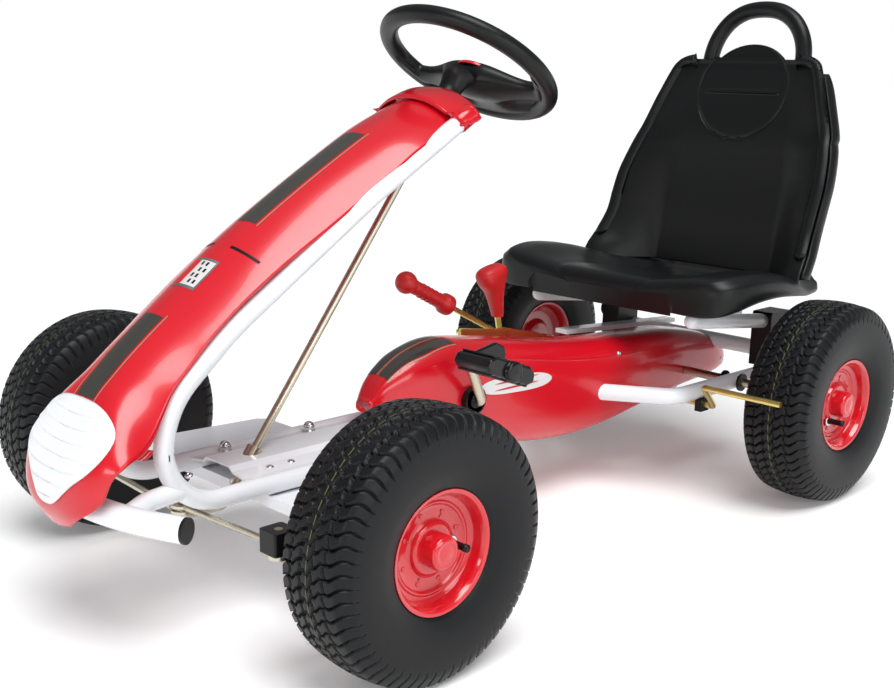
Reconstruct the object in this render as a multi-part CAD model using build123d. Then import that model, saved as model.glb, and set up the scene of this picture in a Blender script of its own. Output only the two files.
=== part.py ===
from build123d import *
import os
from math import atan2, cos, degrees, hypot, pi, radians, sin, tan

# Pedal go kart. Stations along X are measured from the front axle, +X points forwards, +Y to the
# driver's left and +Z up, with the ground at Z = 0. The finished parts are moved forwards by
# front_axle_x, so that the origin lies on the ground under the middle of the kart.

# ---- driving dimensions, mm ----
front_axle_x = 362.76
wheelbase = 741.0
rear_axle_x = -wheelbase
tyre_r = 130.0
tyre_w = 87.0
front_wheel_y = 270.0
rear_wheel_y = 255.0
axle_z = tyre_r
rim_r = 59.5
axle_r = 6.0
running_gap = 0.05

loop_y = 60.0
loop_r = 10.0
loop_wall = 1.5
hoop_r = 12.5
hoop_mid_x = 193.0
hoop_end = (160.0, 137.0)
hoop_z = 143.0
frame_r = 11.0
side_y = 122.0
beam_z = 98.0
cross_x, cross_z = -830.0, 160.0

column_r = 4.5
bush_r = 9.0
column_foot = (22.9, 97.0)
column_top = (-309.0, 532.0)
crank_pin_x = 74.5
ring_height = 26.0
kingpin_y = 200.0
kingpin_r = 5.0
knuckle_arm = 103.0
rod_end_z = 132.0
rod_eye_z = {"left": 110.0, "right": 104.0}
tie_r = 3.5
selector_y = -88.0
brake_lever_y = -68.0
rod_eye_hole_r = 8.0

crank_x, crank_z = -303.0, 164.0
crank_dx, crank_dz = 35.0, 57.0
pedal_y = 112.0
pitch = 12.7
front_teeth, rear_teeth = 20, 14
chain_y = 20.0

guard_wall = 3.0
seat_rail_y = 130.0
rail_r = 10.0
rail_slope = tan(radians(7.0))
rail_front = (-620.0, 230.0)

lever_pivot = (-474.0, 200.0)
selector_pivot = (-494.0, 190.0)
lever_pin_r = 4.0
brake_axis = (-655.0, 114.2)
brake_pad = (-603.0, 152.0)
brake_r = 4.0

SIDES = {"left": 1, "right": -1}
parts = {}


# ---- helpers ----
def along(path):
    return Plane(origin=path @ 0, z_dir=path % 0)


def bar(points, radii, r):
    path = FilletPolyline(*points, radius=radii) if len(points) > 2 else Line(*points)
    return sweep(along(path) * Circle(r), path=path)


def tube(points, radii, r, wall):
    return bar(points, radii, r) - bar(points, radii, r - wall)


def rod(a, b, r):
    d = Vector(*b) - Vector(*a)
    return Plane(origin=a, z_dir=d) * extrude(Circle(r), d.length)


def cyl_y(x, y, z, r, length):
    return Pos(x, y, z) * Rot(90, 0, 0) * Cylinder(r, length)


def cyl_z(x, y, z0, z1, r):
    return Pos(x, y, (z0 + z1) / 2) * Cylinder(r, z1 - z0)


def block(x0, x1, y0, y1, z0, z1):
    return Pos((x0 + x1) / 2, (y0 + y1) / 2, (z0 + z1) / 2) * Box(x1 - x0, y1 - y0, z1 - z0)


def mirror_y(shape):
    return mirror(shape, about=Plane.XZ)


def sided(side, shape):
    return shape if side == "left" else mirror_y(shape)


def spun(profile, x, y):
    # a face drawn in X (outwards along the axle) and Y (radius), turned round the axle at (x, y)
    turned = revolve(profile, axis=Axis.X)
    return Pos(x, y, axle_z) * Rot(0, 0, 90) * turned


def steering_axis(r):
    return rod((column_foot[0], 0, column_foot[1]), (column_top[0], 0, column_top[1]), r)


# ---- frame ----
def loop_route():
    pts = [(-262, 491), (-127, 414), (48, 301), (133, 229), (129, 132), (-222, 132)]
    return [(x, loop_y, z) for x, z in pts], [300, 300, 90, 62]


def frame_loop():
    return tube(*loop_route(), loop_r, loop_wall)


def floor_pan():
    half = [(0, 147), (21, 147), (27, 142), (46, 139), (49.9, 139)]
    low = [(49.9, 137), (45.6, 137), (25.8, 140), (20, 145), (0, 145)]
    ring = half + low + [(-y, z) for y, z in low[::-1][1:]] + [(-y, z) for y, z in half[::-1][:-1]]
    face = make_face(Polyline(*ring, close=True))
    pan = Plane(origin=(-232, 0, 0), x_dir=(0, 1, 0), z_dir=(1, 0, 0)) * extrude(face, 262)
    return pan - steering_axis(bush_r)


def front_axle_beam():
    outline = Polyline((10, 0), (10, 150), (22, 176), (22, 214), (-22, 214), (-22, 190), (-60, 186),
                       (-150, 176), (-160, 166), (-160, 0))
    half = make_face(outline + Line((-160, 0), (10, 0)))
    plate = Pos(0, 0, 118) * extrude(half, 3)
    front_lip = block(7, 10, 0, 150, 108, 118)
    rear_lip = block(-160, -157, 0, 166, 108, 118)
    strap = block(-12, 12, 183, 186, 121, 153) + block(-12, 12, 183, 212, 153, 156)
    half_beam = plate + front_lip + rear_lip + strap
    half_beam -= cyl_z(0, kingpin_y, 100, 160, kingpin_r)
    beam = half_beam + mirror_y(half_beam)
    return beam - steering_axis(column_r + 4)


def kingpins():
    pin = cyl_z(0, kingpin_y, 112, 158, kingpin_r) + cyl_z(0, kingpin_y, 156, 162, 8)
    pin += cyl_z(0, kingpin_y, 110, 118, 8)
    return pin + mirror_y(pin)


def bumper_bar():
    hoop = hoop_space(hoop_r) - hoop_space(hoop_r - loop_wall)
    for side in SIDES.values():
        stay = bar([(186, side * 76, hoop_z), (154, side * 63, 148), (114, side * 60, 150.5)], [40], loop_r)
        hoop += stay - hoop_space(hoop_r - 0.1) - loops_space()
    return hoop


def hoop_space(r):
    end_x, end_y = hoop_end
    arc = ThreePointArc((end_x, -end_y, hoop_z), (hoop_mid_x, 0, hoop_z), (end_x, end_y, hoop_z))
    return sweep(along(arc) * Circle(r), path=arc)


def loops_space():
    near = bar(*loop_route(), loop_r)
    return near + mirror_y(near)


def bumper_end_caps():
    caps = None
    end_x, end_y = hoop_end
    turn = 2 * atan2(hoop_mid_x - end_x, end_y)
    for side in SIDES.values():
        end = Plane(origin=(end_x, side * end_y, hoop_z), z_dir=(-sin(turn), side * cos(turn), 0))
        cap = end * extrude(Circle(12.5), 3) + end * Pos(0, 0, -10) * extrude(Circle(10.9), 10)
        caps = cap if caps is None else caps + cap
    return caps


def side_route():
    return [(-540, 22, axle_z), (-606, side_y, axle_z), (-855, side_y, axle_z)]


def side_tube():
    tube_half = tube(side_route(), [34], frame_r, loop_wall)
    tube_half -= cyl_y(rear_axle_x, side_y, axle_z, 8, 40)
    return tube_half


def main_beam():
    beam = block(-785, -120, -31, -7, beam_z - 8, beam_z + 8)
    beam -= block(-787, -118, -29, -9, beam_z - 6, beam_z + 6)
    beam += block(-154, -120, -31, -7, beam_z + 8, 118)
    beam += block(-215, -195, -58, 58, beam_z + 8, 122)
    bracket = block(crank_x - 17, crank_x + 17, -31, -27, beam_z + 8, crank_z)
    shell = cyl_y(crank_x, -16, crank_z, 15, 44) - cyl_y(crank_x, -16, crank_z, 11, 60)
    beam += (bracket - cyl_y(crank_x, -16, crank_z, 11, 60)) + shell
    beam += block(-561, -539, -36, 36, beam_z + 2, beam_z + 7)
    for y in (-36, 26):
        beam += block(-561, -539, y, y + 10, beam_z + 4, 119)
    return beam


def seat_cross_tube():
    cross = rod((cross_x, -160, cross_z), (cross_x, 160, cross_z), frame_r)
    cross -= rod((cross_x, -170, cross_z), (cross_x, 170, cross_z), frame_r - loop_wall)
    web = block(cross_x - 10, cross_x + 10, side_y - 2, side_y + 2, 140, cross_z)
    web -= rod((cross_x, 100, cross_z), (cross_x, 150, cross_z), frame_r - loop_wall)
    web -= rod((-900, side_y, 130), (-700, side_y, 130), frame_r)
    return cross + web + mirror_y(web)


def rail_z(x):
    return rail_front[1] - (rail_front[0] - x) * rail_slope


def seat_clamps():
    x = cross_x + 18
    z = rail_z(x)
    body = block(x - 24, x + 24, seat_rail_y - 15, seat_rail_y + 15, cross_z - 14, z + 15)
    body += cyl_y(x - 2, seat_rail_y + 22, cross_z + 22, 12, 16)
    body -= rail_bar(seat_rail_y, rail_r + 2 * running_gap)
    body -= rod((cross_x, 90, cross_z), (cross_x, 170, cross_z), frame_r)
    body -= block(cross_x - 10, cross_x + 10, side_y - 2, side_y + 2, 140, cross_z)
    body = body.fillet(4, body.edges().filter_by(Axis.Y).sort_by(Axis.Z)[-2:])
    return body + mirror_y(body)


def seat_support_bar():
    outline = Polyline((-590, 193), (-590, 187), (-826, 171.2), (-846, 171.2), (-846, 177), (-590, 193))
    bar_face = Plane.XZ * make_face(outline)
    flat = Pos(0, -52, 0) * extrude(bar_face, 20)
    return flat


# ---- body shells ----
def crown_section(x, z, lean, half, depth, grow=0.0, drop=0.0):
    # one cross-section of the fairing: a crowned arch whose top is at (x, z) and leans back by lean
    n = (cos(radians(lean)), sin(radians(lean)))
    top = depth + grow
    half = half + grow
    plane = Plane(origin=(x - n[0] * depth, 0, z - n[1] * depth), x_dir=(0, 1, 0),
                  z_dir=(n[1], 0, -n[0]))
    arch = []
    for k in range(13):
        a = pi * k / 12
        c, s = cos(a), sin(a)
        u = half * (abs(c) ** 0.72) * (1 if c >= 0 else -1)
        arch.append((u, top * s ** 0.72))
    crown = Spline(*arch)
    if drop:
        skirt = Polyline((-half, 0), (-half, -drop), (half, -drop), (half, 0))
    else:
        skirt = Line((-half, 0), (half, 0))
    return plane * make_face(crown + skirt)


RUN = [
    (-234, 512, 64, 61, 20), (-142, 470, 60, 62, 29), (-2, 387, 54, 63, 30), (80, 328, 50, 66, 29),
    (140, 279, 46, 76, 34), (178, 245, 40, 88, 40), (199, 216, 30, 90, 34), (215, 186, 20, 80, 24),
    (226, 160, 6, 72, 18), (224, 140, -18, 52, 14), (216, 126, -38, 26, 8),
]


def run_loft(grow=0.0, drop=0.0, first=0, last=len(RUN)):
    return loft([crown_section(*row, grow=grow, drop=drop) for row in RUN[first:last]],
                ruled=True)


def fairing():
    shell = run_loft() - run_loft(grow=-3.0, drop=14.0, last=len(RUN) - 1)
    shell -= hoop_space(hoop_r + 0.1)
    return (shell - cap_solid()).solids().sort_by(SortBy.VOLUME)[-1]


def grille_outline():
    side = Spline((0, 243.5), (50, 240), (73, 224), (67, 198), (48, 166), (31, 139), (0, 131))
    half = make_face(side + Line((0, 131), (0, 243.5)))
    return Plane(origin=(130, 0, 0), x_dir=(0, 1, 0), z_dir=(1, 0, 0)) * half


def nose_grille():
    skin = run_loft(grow=3.5, first=4) - run_loft(grow=0.3, first=4)
    right = extrude(grille_outline(), 120)
    prism = right + mirror_y(right)
    return (skin & prism) - hoop_space(hoop_r + 0.1)


def cap_section(x, z, lean, half, top, depth):
    n = (cos(radians(lean)), sin(radians(lean)))
    plane = Plane(origin=(x - n[0] * depth, 0, z - n[1] * depth), x_dir=(0, 1, 0), z_dir=(n[1], 0, -n[0]))
    arch = []
    for k in range(13):
        a = pi * k / 12
        c, s = cos(a), sin(a)
        arch.append((half * abs(c) ** 0.6 * (1 if c >= 0 else -1), top * s ** 0.6))
    return plane * make_face(Spline(*arch) + Line((-half, 0), (half, 0)))


CAP = [(-233, 517, 62, 66), (-262, 530, 70, 68), (-290, 530, 96, 68), (-310, 518, 132, 68)]


def cap_solid():
    return loft([cap_section(*row, 26, 26) for row in CAP])


def fairing_cap():
    inner = loft([cap_section(*row[:3], row[3] - 3, 23, 32) for row in CAP])
    return cap_solid() - inner - steering_axis(bush_r)


GUARD = [
    (-160, 176, 163, 20, 5), (-188, 208, 150, 36, 16), (-217, 226, 137, 42, 22),
    (-262, 234, 124, 45, 26), (-310, 232, 110, 45, 28), (-379, 221, 90, 45, 28),
    (-460, 207, 68, 45, 26), (-541, 197, 54, 44, 24), (-620, 193, 52, 43, 22),
    (-690, 190, 62, 42, 22), (-760, 184, 76, 41, 22), (-820, 170, 88, 38, 20),
    (-860, 150, 96, 30, 14), (-884, 126, 104, 14, 6),
]


def guard_solid(shrink=0.0):
    faces = []
    for x, top, low, half, r in GUARD:
        height = top - low - 2 * shrink
        face = RectangleRounded(2 * (half - shrink), height, min(r, height / 2 - 0.5))
        plane = Plane(origin=(x, 0, (top + low) / 2), x_dir=(0, 1, 0), z_dir=(1, 0, 0))
        faces.append(plane * face)
    return loft(faces, ruled=True)


def guard_openings():
    holes = block(-450, -118, -32.5, -5.5, beam_z - 9.5, beam_z + 9.5)
    holes += block(crank_x - 18, crank_x + 18, -32.5, -25.5, beam_z, 130)
    holes += rod((cross_x, -160, cross_z), (cross_x, 160, cross_z), frame_r + 0.5)
    holes += cyl_y(crank_x, 0, crank_z, 17, 110) + cyl_y(rear_axle_x, 0, axle_z, 11, 110)
    holes += cyl_y(brake_axis[0], 0, brake_axis[1], brake_r + 2, 110)
    half = bar(side_route(), [34], frame_r + 0.3)
    holes += half + mirror_y(half)
    return holes + block(-233, -150, -51, 51, 100, 147.3)


def chain_guard(side):
    low, high = sorted((0, SIDES[side] * 80))
    shell = (guard_solid() & block(-900, -100, low, high, 0, 300)) - guard_solid(guard_wall)
    return shell - guard_openings()


# ---- drive ----
def pitch_radius(teeth):
    return pitch / (2 * sin(pi / teeth))


def sprocket(teeth, bore):
    rim = pitch_radius(teeth) - 3.6
    disc = Cylinder(rim, 2.6)
    for k in range(teeth):
        angle = 360 * k / teeth
        tooth = Polyline((rim - 2, -3.4), (rim + 3, -2.6), (rim + 6.4, -0.8), (rim + 6.4, 0.8),
                         (rim + 3, 2.6), (rim - 2, 3.4), close=True)
        disc += Rot(0, 0, angle) * Pos(0, 0, -1.3) * extrude(make_face(tooth), 2.6)
    disc += Cylinder(bore + 6, 10)
    for k in range(5):
        disc -= Rot(0, 0, 72 * k) * Pos(rim * 0.64, 0, 0) * Cylinder(rim * 0.13, 12)
    disc -= Cylinder(bore, 20)
    return Rot(90, 0, 0) * disc


def chain():
    big, small = pitch_radius(front_teeth), pitch_radius(rear_teeth)
    dx, dz = crank_x - rear_axle_x, crank_z - axle_z
    span = hypot(dx, dz)
    tilt = degrees(atan2(dz, dx))
    lean = degrees(atan2(big - small, span))

    def outline(offset):
        rb, rs = big + offset, small + offset
        c, s = cos(radians(lean)), sin(radians(lean))
        up_s, up_b = (-rs * s, rs * c), (span - rb * s, rb * c)
        low_s, low_b = (-rs * s, -rs * c), (span - rb * s, -rb * c)
        ring = Line(up_s, up_b) + ThreePointArc(up_b, (span + rb, 0), low_b)
        ring += Line(low_b, low_s) + ThreePointArc(low_s, (-rs, 0), up_s)
        return make_face(ring)

    band = outline(3.5) - outline(-3.5)
    plates = Pos(0, 0, 2.2) * extrude(band, 1.2) + Pos(0, 0, -3.4) * extrude(band, 1.2)
    c, s = cos(radians(lean)), sin(radians(lean))
    run = span * c
    count = int((run - 50) // pitch)
    for sign in (1, -1):
        for k in range(count + 1):
            t = (run - count * pitch) / 2 + k * pitch
            x = -small * s + t * c
            z = sign * (small * c + t * s)
            plates += Pos(x, z, 0) * Cylinder(3.0, 5.0)
    return Pos(rear_axle_x, chain_y, axle_z) * Rot(0, -tilt, 0) * Rot(90, 0, 0) * plates


def crankshaft():
    up = (crank_x + crank_dx, crank_z + crank_dz)
    low = (crank_x - crank_dx, crank_z - crank_dz)
    left = [(up[0], 144, up[1]), (up[0], 72, up[1]), (crank_x, 61, crank_z), (crank_x, 0, crank_z)]
    right = [(low[0], -144, low[1]), (low[0], -72, low[1]), (crank_x, -61, crank_z), (crank_x, 0, crank_z)]
    shaft = bar(left, [9, 9], axle_r) + bar(right, [9, 9], axle_r)
    for (x, z), y in ((up, 143), (low, -143)):
        shaft += cyl_y(x, y, z, 9, 3)
    return shaft


def pedal(side):
    sign = SIDES[side]
    x, z = crank_x + sign * crank_dx, crank_z + sign * crank_dz
    foot = Box(82, 56, 20)
    foot = foot.fillet(6, foot.edges().filter_by(Axis.Y))
    ear = Pos(6, -25, 16) * Box(56, 6, 16)
    ear = ear.fillet(5, ear.edges().filter_by(Axis.Y).sort_by(Axis.Z)[-2:])
    ribs = None
    for k in range(-3, 4):
        rib = Pos(11 * k, 2, 10.6) * Box(3, 44, 2.4)
        ribs = rib if ribs is None else ribs + rib
    tread = foot + ear + ribs + Pos(0, 2, -10.5) * Box(60, 40, 3)
    tread = tread if sign > 0 else mirror_y(tread)
    placed = Pos(x, sign * pedal_y, z) * Rot(0, -24, 0) * tread
    return placed - cyl_y(x, sign * pedal_y, z, axle_r + running_gap, 120)


def rear_axle():
    shaft = cyl_y(rear_axle_x, 0, axle_z, axle_r, 2 * (rear_wheel_y + 30))
    for side in SIDES.values():
        shaft += cyl_y(rear_axle_x, side * (rear_wheel_y - 40.3), axle_z, 9, 20)
    return shaft


# ---- wheels ----
def tyre_profile():
    half, r = tyre_w / 2, tyre_r
    outer = ThreePointArc((35.5, 61), (half, 92), (37.5, 119))
    outer += ThreePointArc((37.5, 119), (0, r), (-37.5, 119))
    outer += ThreePointArc((-37.5, 119), (-half, 92), (-35.5, 61))
    inner = Polyline((-35.5, 61), (-32.8, 59.9), (-31.6, 53.2), (-24, 53.2))
    inner += ThreePointArc((-24, 53.2), (-36.5, 90), (-29, 112))
    inner += ThreePointArc((-29, 112), (0, 119), (29, 112))
    inner += ThreePointArc((29, 112), (36.5, 90), (24, 53.2))
    inner += Polyline((24, 53.2), (31.6, 53.2), (32.8, 59.9), (35.5, 61))
    return make_face(outer + inner)


def rim():
    wall = [(30, axle_r + running_gap), (30, 13), (18.5, 13), (18.5, 31), (15.5, 39.5), (17.5, 44),
            (31.5, 47.5), (34.8, 52), (34.8, rim_r), (33.2, rim_r), (32.0, 53), (20, 53),
            (9, 47), (4, 42), (0, 42)]
    inner = [(0, 40), (6, 40), (13, 38.5), (16, 30.5), (16, 13), (0, 13), (0, axle_r + running_gap)]
    half = make_face(Polyline(*(wall + inner), close=True))
    return half + mirror(half, Plane.YZ)


def hub_cap(y_sign, x, y):
    dome = Polyline((28, 17), (33, 17), (36, 15.5), (37.5, 11), (38, 0), (35, 0), (34.8, 10),
                    (33.6, 13.4), (28, 13.4), close=True)
    face = make_face(dome)
    ring = revolve(face, axis=Axis.X)
    turn = 90 if y_sign > 0 else -90
    return Pos(x, y, axle_z) * Rot(0, 0, turn) * ring


def wheel_nodes(tag, side, x, y):
    sign = SIDES[side]
    parts["tyre_" + tag] = spun(tyre_profile(), x, sign * y)
    parts["rim_" + tag] = spun(rim(), x, sign * y)
    parts["hub_cap_" + tag] = hub_cap(sign, x, sign * y)


# ---- steering ----
def steering_column():
    foot_x, foot_z = column_foot
    pts = [(crank_pin_x, 0, 124), (crank_pin_x, 0, foot_z), (foot_x, 0, foot_z),
           (column_top[0], 0, column_top[1])]
    column = bar(pts, [8, 12], column_r)
    return column


def wheel_frame():
    dx, dz = column_top[0] - column_foot[0], column_top[1] - column_foot[1]
    return Plane(origin=(column_top[0], 0, column_top[1]), x_dir=(0, 1, 0), z_dir=(dx, 0, dz))


def steering_wheel():
    ring = Pos(0, 0, ring_height) * Torus(100, 9)
    hub = Pos(0, 0, 8) * Cylinder(24, 22)
    hub += Pos(0, 0, 13) * Cylinder(40, 6)
    bridge = make_face(Polyline((-94, 18), (-94, -22), (-44, -34), (44, -34), (94, -22), (94, 18),
                                (44, 26), (-44, 26), close=True))
    rising = Pos(0, 0, 14) * extrude(bridge, 10)
    wheel = ring + hub + rising - Cylinder(column_r, 80)
    wheel -= Pos(0, 0, 18) * Cylinder(26, 14, align=(Align.CENTER, Align.CENTER, Align.MIN))
    return wheel_frame() * wheel


def wheel_insert():
    disc = Cylinder(25.8, 9, align=(Align.CENTER, Align.CENTER, Align.MIN))
    disc = disc.fillet(3, disc.edges().sort_by(Axis.Z)[-1:])
    return wheel_frame() * Pos(0, 0, 18) * disc


def column_bushes():
    bushes = None
    frame = wheel_frame()
    for back, length in ((20, 14), (484, 12)):
        bush = Pos(0, 0, -back) * (Cylinder(bush_r, length) - Cylinder(column_r + running_gap, 60))
        bush = frame * bush
        bushes = bush if bushes is None else bushes + bush
    return bushes


def knuckle(side):
    boss = cyl_z(0, kingpin_y, 121.6, 152.6, 10)
    arm = block(0, knuckle_arm, kingpin_y - 9, kingpin_y + 9, 122, 127)
    arm += cyl_z(knuckle_arm, kingpin_y, 122, 127, 11)
    ball = cyl_z(knuckle_arm, kingpin_y, 127, 149, 4)
    stub = cyl_y(0, kingpin_y + 19.8, axle_z, 9, 39.6) + cyl_y(0, kingpin_y + 50, axle_z, axle_r, 99)
    body = boss + arm + ball + stub - cyl_z(0, kingpin_y, 100, 170, kingpin_r + running_gap)
    return sided(side, body)


def rod_end(side):
    body = block(knuckle_arm - 13, knuckle_arm + 13, kingpin_y - 13, kingpin_y + 12, 127.3, 149)
    body = body.fillet(3, body.edges().filter_by(Axis.Z))
    body -= cyl_z(knuckle_arm, kingpin_y, 100, 170, 4 + running_gap)
    body -= tie_bar("left", rod_eye_z[side])
    return sided(side, body)


def tie_bar(side, eye_z):
    a = (knuckle_arm - 1.5, kingpin_y - 9, rod_end_z)
    b = (crank_pin_x + 3.5, 14, eye_z + 0.5)
    return rod(a, b, tie_r)


def tie_rod(side):
    z = rod_eye_z[side]
    eye = cyl_z(crank_pin_x, 0, z - 1.5, z + 1.5, rod_eye_hole_r + 4)
    body = tie_bar(side, z) + eye + rod((crank_pin_x + 1.5, 7, z), (crank_pin_x + 5, 20, z + 1), 2.5)
    body -= cyl_z(crank_pin_x, 0, z - 20, z + 20, rod_eye_hole_r)
    body -= cyl_z(knuckle_arm, kingpin_y, 100, 170, 4.3)
    return sided(side, body)


# ---- controls ----
def brake_lever():
    x, z = lever_pivot
    tip = (x + 172, z + 88)
    ring = cyl_y(x, brake_lever_y, z, 9, 8)
    arm = rod((x + 4, brake_lever_y, z + 2), (tip[0], brake_lever_y, tip[1]), 3.5)
    return ring + arm - cyl_y(x, brake_lever_y, z, lever_pin_r + running_gap, 30)


def brake_grip():
    x, z = lever_pivot
    d = Vector(172, 0, 88).normalized()
    at = lambda t: (x + d.X * t, brake_lever_y, z + d.Z * t)
    grip = rod(at(118), at(190), 9) + Pos(*at(196)) * Sphere(14)
    grip += rod(at(114), at(126), 13)
    return grip - rod(at(80), at(hypot(172, 88)), 3.5)


def selector_lever():
    x, z = selector_pivot
    ring = cyl_y(x, selector_y, z, 9, 7)
    arm = rod((x + 1, selector_y, z + 5), (x + 14, selector_y, z + 60), 4)
    return ring + arm - cyl_y(x, selector_y, z, lever_pin_r + running_gap, 30)


def selector_knob():
    x, z = selector_pivot
    stem = loft([Plane(origin=(x + 7, selector_y, z + 30), z_dir=(13, 0, 55)) * Circle(7.5),
                 Plane(origin=(x + 18, selector_y, z + 76), z_dir=(13, 0, 55)) * Circle(14)])
    head = Pos(x + 21, selector_y, z + 84) * Rot(0, -12, 0) * Box(46, 30, 24)
    head = head.fillet(9, head.edges())
    knob = stem + head
    return knob - rod((x + 1, selector_y, z + 5), (x + 14, selector_y, z + 60), 4)


def lever_bracket():
    outline = Polyline((-385, 211), (-385, 222), (-440, 214), (-470, 212), (-505, 203), (-572, 186),
                       (-572, 172), (-500, 182), (-460, 192), close=True)
    plate = Pos(0, -56, 0) * extrude(Plane.XZ * make_face(outline), 4)
    foot = block(-560, -400, -60, -56, 150, 190)
    pins = cyl_y(lever_pivot[0], -67, lever_pivot[1], lever_pin_r, 15)
    pins += cyl_y(selector_pivot[0], -76, selector_pivot[1], lever_pin_r, 34)
    tie = block(-556, -544, -60, -44.6, 130, 150) - mirror_y(bar(side_route(), [34], frame_r))
    return plate + foot + pins + tie


def brake_bar():
    ax, az = brake_axis
    px, pz = brake_pad
    half = [(ax, 0, az), (ax, 150, az), (px, 166, pz), (px, 276, pz)]
    near = bar(half, [8, 8], brake_r)
    return near + mirror_y(near)


def brake_brackets():
    ax, az = brake_axis
    ear = block(ax - 9, ax + 9, side_y + 4, side_y + 14, az - 9, 121)
    ear -= cyl_y(ax, side_y, az, brake_r + running_gap, 60)
    ear -= rod((-900, side_y, 130), (-560, side_y, 130), frame_r)
    return ear + mirror_y(ear)


def axle_bushes():
    bush = cyl_y(rear_axle_x, side_y, axle_z, 8, 26) + cyl_y(rear_axle_x, side_y + 13.5, axle_z, 12, 3)
    bush += cyl_y(rear_axle_x, side_y - 13.5, axle_z, 12, 3)
    bush -= cyl_y(rear_axle_x, side_y, axle_z, axle_r + running_gap, 60)
    return bush + mirror_y(bush)


def crank_bushes():
    bushes = None
    for y in (-34, 2):
        bush = cyl_y(crank_x, y, crank_z, 11, 8) - cyl_y(crank_x, y, crank_z, axle_r + running_gap, 60)
        bushes = bush if bushes is None else bushes + bush
    boss = cyl_y(crank_x, 47.5, crank_z, 17, 9) - cyl_y(crank_x, 47.5, crank_z, axle_r + running_gap, 60)
    return bushes + boss + mirror_y(boss)


def frame_bolts():
    bolts = None
    for x in (-10, -126):
        washer = cyl_z(x, -43, 141, 143, 7)
        body = Pos(x, -43, 142) * Cylinder(5.6, 5, align=(Align.CENTER, Align.CENTER, Align.MIN))
        nut = washer + body + Pos(x, -43, 147) * Sphere(5.5)
        bolts = nut if bolts is None else bolts + nut
    for x in (-12, -40):
        bolts += cyl_z(x, 34, 142, 144, 4.5)
    return bolts


# ---- seat ----
def pan_section(x, centre, lobe, low, half):
    # one cross-section of the seat pan, dished in the middle and rounded over at the sides
    pts = [(-half, low + 12), (-half + 8, lobe - 12), (-half + 36, lobe), (-half * 0.45, centre + 8),
           (0, centre), (half * 0.45, centre + 8), (half - 36, lobe), (half - 8, lobe - 12),
           (half, low + 12)]
    wire = Spline(*pts) + Polyline((half, low + 12), (half - 4, low), (-half + 4, low), (-half, low + 12))
    return Plane(origin=(x, 0, 0), x_dir=(0, 1, 0), z_dir=(1, 0, 0)) * make_face(wire)


PAN = [
    (-588, 268, 272, 238, 150), (-606, 282, 292, 233, 192), (-660, 276, 296, 231, 200),
    (-740, 262, 282, 233, 196), (-800, 254, 265, 236, 184), (-862, 253, 262, 238, 172),
]


def seat_pan():
    outer = loft([pan_section(*row) for row in PAN])
    inner = loft([pan_section(x + (3 if k == 0 else 0), c - 4, s - 4, low - 6, half - 4)
                  for k, (x, c, s, low, half) in enumerate(PAN[1:])])
    return outer - inner


BACK = [
    (268, 170, -862, -792), (330, 188, -871, -812), (392, 188, -880, -842), (446, 162, -889, -872),
    (500, 146, -902, -888), (552, 126, -915, -904), (584, 98, -923, -914),
]


def back_section(z, half, mid_x, side_x):
    depth = side_x - mid_x
    front = Spline((mid_x + depth, -half), (mid_x + depth * 0.45, -half * 0.8), (mid_x + 2, -half * 0.5),
                   (mid_x, 0), (mid_x + 2, half * 0.5), (mid_x + depth * 0.45, half * 0.8),
                   (mid_x + depth, half))
    rear = Spline((mid_x + depth - 6, half + 0.1), (mid_x + depth * 0.4 - 8, half * 0.86),
                  (mid_x - 7, half * 0.5), (mid_x - 9, 0), (mid_x - 7, -half * 0.5),
                  (mid_x + depth * 0.4 - 8, -half * 0.86), (mid_x + depth - 6, -half - 0.1))
    ends = Line((mid_x + depth, half), (mid_x + depth - 6, half + 0.1))
    ends += Line((mid_x + depth - 6, -half - 0.1), (mid_x + depth, -half))
    return Pos(0, 0, z) * make_face(front + rear + ends)


def seat_back():
    shell = loft([back_section(*row) for row in BACK])
    handle = bar([(-926, -73, 480), (-942, -73, 627), (-942, 73, 627), (-926, 73, 480)], [66, 66], 13)
    return shell + handle


def rail_bar(y, r, front=rail_front[0], rear=-905.0):
    return rod((front, y, rail_z(front)), (rear, y, rail_z(rear)), r)


def seat_rails():
    rails = None
    for side in SIDES.values():
        y = side * seat_rail_y
        rail = rail_bar(y, rail_r) - rail_bar(y, rail_r - loop_wall, rail_front[0] - 12, -910)
        rail += Pos(rail_front[0], y, rail_z(rail_front[0])) * Sphere(rail_r)
        for x in (-660, -720):
            rail += block(x - 12, x + 12, y - 3, y + 3, rail_z(x) + 8, 274)
        rails = rail if rails is None else rails + rail
    return rails


# ---- assembly ----
loop = frame_loop()
parts["frame_loop_left"], parts["frame_loop_right"] = loop, mirror_y(loop)
parts["floor_pan"] = floor_pan()
parts["front_axle_beam"] = front_axle_beam()
parts["kingpins"] = kingpins()
parts["bumper_bar"] = bumper_bar()
parts["bumper_end_caps"] = bumper_end_caps()
parts["side_tube_left"] = side_tube()
parts["side_tube_right"] = mirror_y(parts["side_tube_left"])
parts["main_beam"] = main_beam()
parts["seat_cross_tube"] = seat_cross_tube()
parts["seat_clamps"] = seat_clamps()
parts["seat_support_bar"] = seat_support_bar()
parts["fairing"] = fairing()
parts["fairing_cap"] = fairing_cap()
parts["nose_grille"] = nose_grille()
parts["chain"] = chain()
parts["crankshaft"] = crankshaft()
parts["front_sprocket"] = Pos(crank_x, chain_y, crank_z) * sprocket(front_teeth, axle_r)
parts["rear_sprocket"] = Pos(rear_axle_x, chain_y, axle_z) * sprocket(rear_teeth, axle_r)
parts["rear_axle"] = rear_axle()
parts["axle_bushes"] = axle_bushes()
parts["crank_bushes"] = crank_bushes()
parts["column_bushes"] = column_bushes()
parts["frame_bolts"] = frame_bolts()
parts["steering_column"] = steering_column()
parts["steering_wheel"] = steering_wheel()
parts["wheel_insert"] = wheel_insert()
parts["brake_lever"] = brake_lever()
parts["brake_grip"] = brake_grip()
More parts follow.
